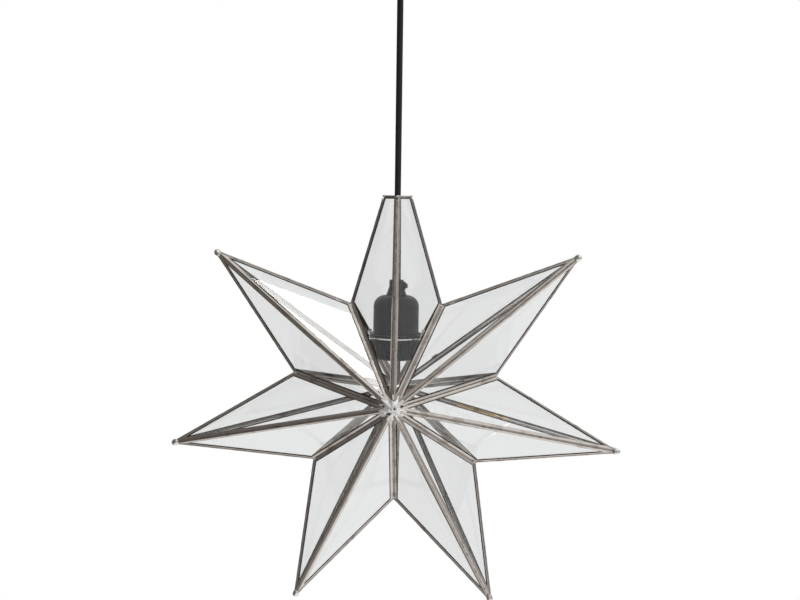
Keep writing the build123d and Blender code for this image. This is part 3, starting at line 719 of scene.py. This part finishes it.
# ------------------------------------------------------------------ solder along the rims
BEAD_RADIUS = 1.05 * MM
BEAD_INSET = 0.35 * MM
BEAD_SIDES = 10
BEAD_STEP = 3.0 * MM
BEAD_UNEVEN = (0.16, 190.0)
DOOR_BEAD_RADIUS = 0.7 * MM             # on the rims that the door shuts on
DOOR_BEAD_INSET = 0.75 * MM
DOOR_BEAD_SHIFT = 0.6 * MM
DOOR_EDGE_RADIUS = 0.55 * MM            # on the door itself
DOOR_EDGE_INSET = 2.0 * MM
DOOR_EDGE_DEPTH = 0.7 * MM
DOOR_EDGE_ENDS = (7.0 * MM, 10.0 * MM)


def bead(start, end, out, deep, radius):
    """Uneven round bead between two places."""
    steps = ceil((end - start).length / BEAD_STEP)
    spots = []
    for step in range(steps + 1):
        middle = start.lerp(end, step / steps)
        swell = radius * uneven(middle, *BEAD_UNEVEN)
        for side in range(BEAD_SIDES):
            turned = 2 * pi * side / BEAD_SIDES
            spots.append(middle + (out * cos(turned) + deep * sin(turned)) * swell)
    return spots, closed_faces(steps + 1, BEAD_SIDES)


def rim_bead(index, turn):
    """Bead along one rim, or along the front edge of a rim that the door shuts on."""
    notch, far = notch_of(index, turn), rim_end(index, turn)
    along = (far - notch).normalized()
    out = along.cross(DEEP)
    if out.dot(notch - STAR_CENTRE) < 0:
        out = -out
    radius, shift = BEAD_RADIUS, -out * BEAD_INSET
    if (index, turn, 1) in DOOR_PANES:
        radius, shift = DOOR_BEAD_RADIUS, -out * DOOR_BEAD_INSET - DEEP * DOOR_BEAD_SHIFT
    return bead(notch + shift, far - along * BEAD_STEP + shift, out, DEEP, radius)


def door_rim_bead(pane):
    """Bead under the outer face of the door's own channel, over the edge of its glass."""
    notch, tip = notch_of(*pane[:2]), tip_of(pane[0])
    along = (tip - notch).normalized()
    ends = [
        in_pane(pane, spot, along, DOOR_EDGE_INSET, DOOR_EDGE_DEPTH)
        for spot in (notch + along * DOOR_EDGE_ENDS[0], tip - along * DOOR_EDGE_ENDS[1])
    ]
    normal = pane_normal(*pane)
    return bead(*ends, normal.cross(along), normal, DOOR_EDGE_RADIUS)


def make_rim_beads():
    beads = [rim_bead(index, turn) for index in range(POINT_COUNT) for turn in (-1, 1)]
    new_piece("rim_beads", joined(*beads), "star", "rim_solder")
    beads = [door_rim_bead(pane) for pane in DOOR_PANES]
    new_piece("door_rim_beads", joined(*beads), "door", "rim_solder")


# ------------------------------------------------------------------ solder on the hubs
HUB_RINGS, HUB_SPOKES = 18, 112
HUB_HEIGHT = 2.9 * MM
HUB_REACH = 11.5 * MM
HUB_SKIN = 0.6 * MM                     # least thickness, but for the edge
HUB_SINK = 0.8 * MM                     # under the surface of the panes
HUB_TOP = 62.9 * MM                     # from the star's middle plane, and nothing above it
HUB_TONGUES = 0.16
HUB_RAGGED, HUB_RAGGED_GRAIN = 0.22, 2.5
HUB_SLOPE = 0.38
CRAG_LEVEL, CRAG_LEAST = 0.66, 0.1
CRAG_RISE, CRAG_CREASE = 0.8, 0.5
PIT_GRAIN = 300.0
PIT_DARK = -0.36
DOOR_CLEARANCE = 1.0 * MM               # from the back hub's solder to the door's ridges
HUB_SEEDS = {-1: 3.0, 1: 11.0}


def pit(spot):
    """Under 0 where a hub's solder is pitted."""
    return noise.noise(spot * PIT_GRAIN + Vector((5, 0, 0)))


def hub_reach(angle, seed):
    """How far a hub's solder runs out in a direction, with a tongue along each ridge and valley."""
    turn = radians(angle)
    tongue = cos(radians(2 * POINT_COUNT * (angle - 90.0)))
    ragged = noise.noise(Vector((cos(turn), sin(turn), seed)) * HUB_RAGGED_GRAIN)
    return HUB_REACH * (1 + HUB_TONGUES * tongue + HUB_RAGGED * ragged)


def hub_thickness(spot, share):
    """Thickness of a hub's solder at a place, a share of the way from its middle to its edge."""
    heap = sqrt(1 - share ** 2) * (1 - HUB_SLOPE * share)
    crags = CRAG_LEVEL + CRAG_RISE * pit(spot) - CRAG_CREASE * abs(noise.noise(spot * PIT_GRAIN))
    thick = HUB_HEIGHT * heap * max(CRAG_LEAST, min(1.0, crags))
    return max(thick, HUB_SKIN * (1 - share ** 6))


def hub_lump(facing, apex=(0.0, 0.0), start=0.0, sweep=360.0):
    """Run-out heap of solder over a hub, whole or a sector of it round an apex."""
    whole = sweep >= 360.0
    columns = HUB_SPOKES if whole else HUB_SPOKES + 1
    outer, inner = [], []
    for ring in range(HUB_RINGS + 1):
        share = ring / HUB_RINGS
        for spoke in range(columns):
            angle = start + sweep * spoke / HUB_SPOKES
            reach = hub_reach(angle, HUB_SEEDS[facing]) * share
            x = apex[0] + reach * cos(radians(angle))
            z = apex[1] + reach * sin(radians(angle))
            thick = hub_thickness(Vector((x, facing * HALF_DEPTH, z)), share)
            depth = surface_depth(x, z)
            outer.append(STAR_CENTRE + Vector((x, facing * min(depth + thick, HUB_TOP), z)))
            inner.append(STAR_CENTRE + Vector((x, facing * (depth - HUB_SINK), z)))
    count, last = len(outer), HUB_RINGS * columns
    edges = [(last + column, last + (column + 1) % columns) for column in range(HUB_SPOKES)]
    if not whole:
        edges += [
            (ring * columns + column, (ring + 1) * columns + column)
            for column in (0, columns - 1) for ring in range(HUB_RINGS)
        ]
    faces = grid_faces(HUB_RINGS + 1, columns, 0, whole) + grid_faces(HUB_RINGS + 1, columns, count, whole)
    faces += [(one, other, other + count, one + count) for one, other in edges]
    lump = bmesh.new()
    corners = [lump.verts.new(corner) for corner in outer + inner]
    for face in faces:
        lump.faces.new([corners[place] for place in face])
    bmesh.ops.remove_doubles(lump, verts=lump.verts, dist=WELD)
    return lump


def make_hub_lumps():
    middle = point_angle(DOOR_UPPER) - HALF_STEP
    back = DOOR_CLEARANCE / sin(radians(HALF_STEP))
    apex = (-back * cos(radians(middle)), -back * sin(radians(middle)))
    lumps = {
        "front": hub_lump(-1),
        "back": hub_lump(1, apex, middle + HALF_STEP, 360.0 - 2 * HALF_STEP),
    }
    for side, lump in lumps.items():
        piece = new_piece(f"{side}_hub_lump", lump, "star", "hub_solder", [f"{side}_hub_solder"])
        # The hub solder's deepest pits take the dark solder.
        piece.data.materials.append(finishes["lip_shade_and_pit_solder"])
        for face in piece.data.polygons:
            spot = face.center - STAR_CENTRE
            spot.y = HALF_DEPTH if spot.y > 0 else -HALF_DEPTH
            face.material_index = int(pit(spot) < PIT_DARK)


# ------------------------------------------------------------------ other solder lumps
TIP_PROFILE = (                         # radius and distance back from the tip, in mm
    (0.5, 0.35), (1.5, 0.6), (2.35, 1.4), (2.85, 2.6), (3.05, 4.0), (3.1, 5.3), (2.9, 6.4), (2.2, 7.2),
)
LUMP_ROUGH = 0.3
LUMP_GRAIN, LUMP_CREASE_GRAIN = 1.7, 3.5
NODE_LUMPS = (                          # node, body, share of its size, how far it is drawn inwards
    ("notch_solder", "star", 0.72, 1.1 * MM),
    ("top_rim_solder", "star", 0.72, 0.9 * MM),
    ("ear_solder", "star", 0.92, 0.0),
    ("door_seam_solder", "door", 0.92, 0.0),
)


def tip_lump(index):
    """Tapered bead over a tip, with a rounded nose and a ragged collar."""
    axis = (tip_of(index) - STAR_CENTRE).normalized()
    place = Matrix((axis.cross(DEEP), DEEP, axis)).transposed().to_4x4()
    place.translation = STAR_CENTRE
    profile = [(radius * MM, STAR_RADIUS - back * MM) for radius, back in TIP_PROFILE]
    return lathed(profile, place, 28, wobble=0.24, seed=7.0 * index, grain=330.0)


def round_lump(centre, radii, seed):
    """Small uneven bead round a point."""
    ball = bmesh.new()
    bmesh.ops.create_icosphere(ball, subdivisions=3, radius=1.0)
    ball.verts.index_update()
    corners = []
    for corner in ball.verts:
        swell = 1 + LUMP_ROUGH * noise.noise(corner.co * LUMP_GRAIN + Vector((seed, 0, seed)))
        crease = abs(noise.noise(corner.co * LUMP_CREASE_GRAIN + Vector((0, seed, 0))))
        swell -= 0.5 * LUMP_ROUGH * crease
        corners.append(centre + Vector([part * radius * swell for part, radius in zip(corner.co, radii)]))
    faces = [tuple(corner.index for corner in face.verts) for face in ball.faces]
    ball.free()
    return corners, faces


def loose_parts(mesh):
    """The corners of each separate part of a mesh, in the order of their first corners."""
    taken, parts = set(), []
    for first in mesh.verts:
        if first in taken:
            continue
        part, waiting = [], [first]
        taken.add(first)
        while waiting:
            corner = waiting.pop()
            part.append(corner.co)
            for line in corner.link_edges:
                other = line.other_vert(corner)
                if other not in taken:
                    taken.add(other)
                    waiting.append(other)
        parts.append(part)
    return parts


def node_lumps(name, shrink, draw):
    """An uneven bead in place of each solid of a faceted node, drawn a little to the centre."""
    mesh = bmesh.new()
    mesh.from_mesh(nodes[name].data)
    bmesh.ops.remove_doubles(mesh, verts=mesh.verts, dist=WELD)
    lumps = []
    for place, part in enumerate(loose_parts(mesh)):
        low, high = [Vector([end(spot[axis] for spot in part) for axis in range(3)]) for end in (min, max)]
        middle = (low + high) / 2
        inwards = STAR_CENTRE - middle
        middle += Vector((inwards.x, 0, inwards.z)).normalized() * draw
        lumps.append(round_lump(middle, (high - low) / 2 * shrink, 3.0 * place))
    mesh.free()
    return joined(*lumps)


def make_lumps():
    tips = [tip_lump(index) for index in range(1, POINT_COUNT)]
    new_piece("tip_lumps", joined(*tips), "star", "solder", replaced=["tip_solder"])
    for name, body, shrink, draw in NODE_LUMPS:
        lumps = node_lumps(name, shrink, draw)
        new_piece(name.replace("solder", "lumps"), lumps, body, "solder", replaced=[name])


# ------------------------------------------------------------------ folded channel ends
TAB_THICKNESS = 0.5 * MM
TAB_LENGTH = 6.5 * MM
TAB_WIDTH = 1.7 * MM
TAB_TAPER = (0.4 * MM, 0.8 * MM)
TAB_FIT = 0.05 * MM
TAB_ROUNDING = 0.1 * MM
TABS = (                                # point, turn, facing, mm from the notch
    (6, 1, -1, 9.0), (1, -1, -1, 7.0), (5, 1, -1, 8.0), (2, 1, -1, 8.0), (4, -1, -1, 7.0),
    (6, -1, 1, 8.0), (3, 1, 1, 8.0), (5, -1, 1, 8.0),
)


def rim_tab(index, turn, facing, place):
    """Overlapping end of a channel, folded over its neighbour beside a notch."""
    notch, tip = notch_of(index, turn), tip_of(index)
    along = (tip - notch).normalized()
    outline = ((0, 0), (TAB_LENGTH, 0), (TAB_LENGTH - TAB_TAPER[1], TAB_WIDTH), (TAB_TAPER[0], TAB_WIDTH))
    corners = []
    for depth in (TAB_FIT, -TAB_THICKNESS):
        for step, side in outline:
            spot, inset = notch + along * (place + step), GROOVE["rim"] + TAB_FIT + side
            corners.append(in_pane((index, turn, facing), spot, along, inset, depth))
    return corners, closed_faces(2, 4)


def make_tabs():
    tabs = [rim_tab(index, turn, facing, place * MM) for index, turn, facing, place in TABS]
    round_edges(new_piece("channel_end_tabs", joined(*tabs), "star", "came", smooth=False), TAB_ROUNDING)


# ------------------------------------------------------------------ inside of the hinge
BACKING_RUN = (66.0 * MM, 119.0 * MM)
BACKING_THICKNESS = 0.25 * MM
BACKING_FIT = 0.1 * MM
BACKING_LAP = 0.05 * MM
BACKING_ROUNDING = 0.08 * MM
CLENCH_RUN = 11.0 * MM
CLENCH_RADIUS = 0.7 * MM
CLENCH_LAP = 0.1 * MM
CLENCH_CURL = (                         # mm from the hinge ridge and along it
    (2.3, 0.0), (3.6, -0.1), (5.1, 0.1), (5.6, 1.0), (4.9, 1.9), (3.6, 2.0), (2.5, 1.8),
)
STOP_RUN = (15.0 * MM, 196.0 * MM)
STOP_REACH = {"star": 3.8 * MM, "door": 3.3 * MM}
STOP_LAP = {"star": -0.05 * MM, "door": 0.15 * MM}
STOP_THICKNESS = 0.3 * MM
STOP_ROUNDING = 0.06 * MM


def frame_stop():
    """Folded strip inside the star's channel, over the gap along the door's upper edge."""
    hub = hub_of(1)
    along = (tip_of(DOOR_UPPER) - hub).normalized()
    fixed, moving = (DOOR_UPPER, -1, 1), (DOOR_UPPER, 1, 1)
    lean = mirror_lean("ridge", fixed)
    fold = lean / sqrt(1 - lean ** 2)
    steps = ceil((STOP_RUN[1] - STOP_RUN[0]) / STRIP_STEP)
    corners = []
    for step in range(steps + 1):
        share = step / steps
        spot = hub + along * (STOP_RUN[0] * (1 - share) + STOP_RUN[1] * share)
        upper, lower = [], []
        for section, thickness in ((upper, 0.0), (lower, STOP_THICKNESS)):
            depth = {body: CHANNEL_HEIGHT + lap + thickness for body, lap in STOP_LAP.items()}
            section.append(in_pane(fixed, spot, along, STOP_REACH["star"], depth["star"]))
            section.append(in_pane(fixed, spot, along, depth["door"] * fold, depth["door"]))
            section.append(in_pane(moving, spot, along, STOP_REACH["door"], depth["door"]))
        corners += upper + lower[::-1]
    last = steps * 6
    ends = [tuple(last + place for place in face) for face in ((0, 1, 4, 5), (1, 2, 3, 4))]
    return corners, grid_faces(steps + 1, 6) + [(0, 5, 4, 1), (1, 4, 3, 2)] + ends


def by_hinge(turn, run, inset, depth):
    """A place under a pane beside the hinge ridge, at a distance from the hub along the ridge."""
    hub = hub_of(1)
    along = (tip_of(DOOR_LOWER) - hub).normalized()
    return in_pane((DOOR_LOWER, turn, 1), hub + along * run, along, inset, depth)


def backing(turn):
    """Brass strip inside one channel of the hinge ridge, under its knuckles."""
    low = inner_inset("ridge", (DOOR_LOWER, turn, 1)) + BACKING_FIT
    high = FACE["ridge"] - BACKING_FIT
    near, far = BACKING_RUN
    corners = [
        by_hinge(turn, run, inset, CHANNEL_HEIGHT + lift)
        for lift in (-BACKING_LAP, BACKING_THICKNESS)
        for run, inset in ((near, low), (far, low), (far, high), (near, high))
    ]
    return corners, closed_faces(2, 4)


def make_hinge_inside():
    round_edges(new_piece("frame_stop", frame_stop(), "star", "came", smooth=False), STOP_ROUNDING)
    for body, turn in (("door", -1), ("star", 1)):
        piece = new_piece(f"{body}_hinge_backing", backing(turn), body, "brass", smooth=False)
        round_edges(piece, BACKING_ROUNDING)
    depth = CHANNEL_HEIGHT + CLENCH_RADIUS - CLENCH_LAP
    points = [by_hinge(1, CLENCH_RUN + run * MM, side * MM, depth) for side, run in CLENCH_CURL]
    settle(curve_piece("pin_clench", points, CLENCH_RADIUS, "copper"), "star")


# ------------------------------------------------------------------ cord
CORD_STRAIGHT = 12 * CORD_RADIUS        # at each end of its curve
TAIL_TOP_Z = BLOCK_FOOT_Z - 0.5 * MM
CORD_SIDES = 24
BEND_PROFILE = (                        # radius and height, in mm
    (0.02, -2.95), (1.2, -2.74), (2.1, -2.1), (2.7, -1.2), (2.9, 0), (2.7, 1.2), (2.1, 2.1), (1.2, 2.74),
    (0.02, 2.95),
)
TAIL_PROFILE = (                        # radius, and height in metres
    (2.6, BEND_Z + 0.1 * MM), (2.97, BEND_Z + 0.6 * MM), (3.0, -30.0 * MM), (3.0, -24.0 * MM),
    (3.0, TAIL_TOP_Z - 4.0 * MM), (2.95, TAIL_TOP_Z - 0.6 * MM), (2.5, TAIL_TOP_Z),
)


def make_cord():
    points = [
        (0, 0, NECK_FLOOR_Z), (0, 0, NECK_TOP_Z + CORD_STRAIGHT), (0, 0, BEND_Z - CORD_STRAIGHT),
        (0, 0, BEND_Z),
    ]
    cord = curve_piece("flex", points, CORD_RADIUS, "cord")
    settle(cord, "cord", ["pendant_cord"])
    profile = [(radius * MM, height * MM) for radius, height in BEND_PROFILE]
    bend = lathed(profile, Matrix.Translation((0, 0, BEND_Z)), CORD_SIDES, wobble=0.02, seed=1.0)
    new_piece("flex_bend", bend, "bend", "cord", replaced=["cord_bend"])
    profile = [(radius * MM, height) for radius, height in TAIL_PROFILE]
    new_piece("flex_tail", lathed(profile, Matrix(), CORD_SIDES), "ceiling", "cord", replaced=["cord_tail"])


# ------------------------------------------------------------------ stage
CAMERA_PLACE = STAR_CENTRE + Vector((36.02 * MM, -1.0, 193.34 * MM))
CAMERA_YAW, CAMERA_PITCH, CAMERA_ROLL = radians(1.862), radians(5.623), radians(0.784)
CAMERA_LENS = 46.98
FLOOR_Z = -1.9
FLOOR_RADIUS = 3.4
FLOOR_SIDES, FLOOR_RINGS = 96, 6
FLOOR_FADE = (0.3, 0.9)                 # shares of its radius
FLOOR_GLOW = 0.75                       # its own white in the middle


def make_camera():
    data = bpy.data.cameras.new("camera")
    data.sensor_width, data.lens = 36.0, CAMERA_LENS
    data.clip_start, data.clip_end = 0.01, 50.0
    camera = put("camera", data)
    ahead = Vector((
        -sin(CAMERA_YAW) * cos(CAMERA_PITCH), cos(CAMERA_YAW) * cos(CAMERA_PITCH), -sin(CAMERA_PITCH),
    ))
    level = Vector((cos(CAMERA_YAW), sin(CAMERA_YAW), 0))
    upright = level.cross(ahead)
    side = level * cos(CAMERA_ROLL) + upright * sin(CAMERA_ROLL)
    up = upright * cos(CAMERA_ROLL) - level * sin(CAMERA_ROLL)
    turned = Matrix((side, up, -ahead)).transposed().to_4x4()
    camera.matrix_world = Matrix.Translation(CAMERA_PLACE) @ turned
    bpy.context.scene.camera = camera


SOFTBOX_RIGHT = Vector((-0.96262, 0.0, 0.27084))
SOFTBOX_UP = Vector((-0.07819, -0.95742, -0.2779))
SOFTBOX_ORIGIN = Vector((0.22044, -0.36486, 0.76287))
SOFTBOX_EDGES = (-0.45, 0.135, -0.029, 0.54)       # across low and high, up low and high
SOFTBOX_POWER = 14.0


def make_lights():
    """One softbox above and right of the star, kept to the panes, of which the upper left mirrors it."""
    low, high, foot, head = SOFTBOX_EDGES
    data = bpy.data.lights.new("softbox", "AREA")
    data.shape = "RECTANGLE"
    data.size, data.size_y = high - low, head - foot
    data.energy = SOFTBOX_POWER
    data.color = (1.0, 0.985, 0.96)
    lamp = put("softbox", data)
    shine = SOFTBOX_RIGHT.cross(SOFTBOX_UP).normalized()
    centre = SOFTBOX_ORIGIN + SOFTBOX_RIGHT * (low + high) / 2 + SOFTBOX_UP * (foot + head) / 2
    if shine.dot(STAR_CENTRE - centre) > 0:
        shine = -shine
    turned = Matrix((SOFTBOX_RIGHT, shine.cross(SOFTBOX_RIGHT), shine)).transposed().to_4x4()
    lamp.matrix_world = Matrix.Translation(centre) @ turned
    lamp.visible_camera = False
    lamp.visible_transmission = False
    lit = bpy.data.collections.new("lit_by_softbox")
    for name in ("star_panes", "door_panes"):
        lit.objects.link(bpy.data.objects[name])
    lamp.light_linking.receiver_collection = lit


def make_world():
    """White to the eye and through glass; for light and gloss a studio that darkens to the left."""
    world = bpy.data.worlds.new("studio")
    bpy.context.scene.world = world
    tree = Tree(world)
    direction = tree.add("ShaderNodeTexCoord").outputs["Generated"]
    parts = tree.add("ShaderNodeSeparateXYZ", {"Vector": direction}).outputs
    side = tree.spread(parts["X"], -0.7, 0.45, 0.0, 1.0)
    low = tree.spread(parts["Z"], -1.0, -0.75, 0.55, 0.0)
    high = tree.spread(parts["Z"], 0.75, 1.0, 0.0, 0.35)
    level = tree.math("MINIMUM", tree.math("ADD", side, tree.math("ADD", low, high)), 1.0)
    steep = tree.spread(tree.math("ABSOLUTE", parts["Z"]), 0.26, 0.6, 0.38, 1.0)
    ahead = tree.spread(tree.math("MULTIPLY", parts["Y"], -1.0), 0.88, 0.985, 1.0, 0.35)
    level_room = tree.math("MULTIPLY", tree.math("MULTIPLY", level, steep), ahead)
    room = tree.blend(level_room, colour(.16, .15, .145), colour(.95, .95, .97))
    soft = tree.blend(level, colour(.55, .55, .55), colour(.85, .85, .86))
    seen, mirrored = tree.rays()
    shade = tree.blend(mirrored, soft, room)
    shade = tree.blend(seen, shade, colour(1, 1, 1))
    tree.give(tree.nodes["Background"], "Color", shade)


def make_floor():
    """Pale round floor, whose own white takes over towards its edge so that no edge shows."""
    corners = [(0, 0, FLOOR_Z)]
    for ring in range(1, FLOOR_RINGS + 1):
        reach = FLOOR_RADIUS * ring / FLOOR_RINGS
        for side in range(FLOOR_SIDES):
            turn = 2 * pi * side / FLOOR_SIDES
            corners.append((reach * cos(turn), reach * sin(turn), FLOOR_Z))
    faces = [(0, 1 + side, 1 + (side + 1) % FLOOR_SIDES) for side in range(FLOOR_SIDES)]
    faces += grid_faces(FLOOR_RINGS, FLOOR_SIDES, 1)
    mesh = bpy.data.meshes.new("floor")
    mesh.from_pydata(corners, [], faces)
    floor = put("floor", mesh)
    material, tree, shader = principled("pale_floor", Roughness=0.7, Base_Color=colour(.86, .86, .855))
    away = tree.add("ShaderNodeVectorMath", {
        0: tree.add("ShaderNodeTexCoord").outputs["Object"], 1: (0, 0, FLOOR_Z),
    }, operation="DISTANCE").outputs["Value"]
    fade, whole = [share * FLOOR_RADIUS for share in FLOOR_FADE]
    seen, _ = tree.rays()
    white = tree.math("MULTIPLY", tree.spread(away, fade, whole, FLOOR_GLOW, 1.0), seen)
    glow = tree.add("ShaderNodeEmission", {"Color": colour(1, 1, 1), "Strength": 1.0}).outputs[0]
    mix = tree.add("ShaderNodeMixShader", {0: white, 1: shader.outputs[0], 2: glow})
    tree.give(tree.nodes["Material Output"], "Surface", mix.outputs[0])
    mesh.materials.append(material)
    floor.visible_glossy = False


bpy.context.scene.view_settings.view_transform = "Standard"
make_camera()
make_cord()
make_groove_fills()
make_panes()
make_rim_beads()
make_hub_lumps()
make_lumps()
make_tabs()
make_hinge_inside()
make_lights()
make_world()
make_floor()
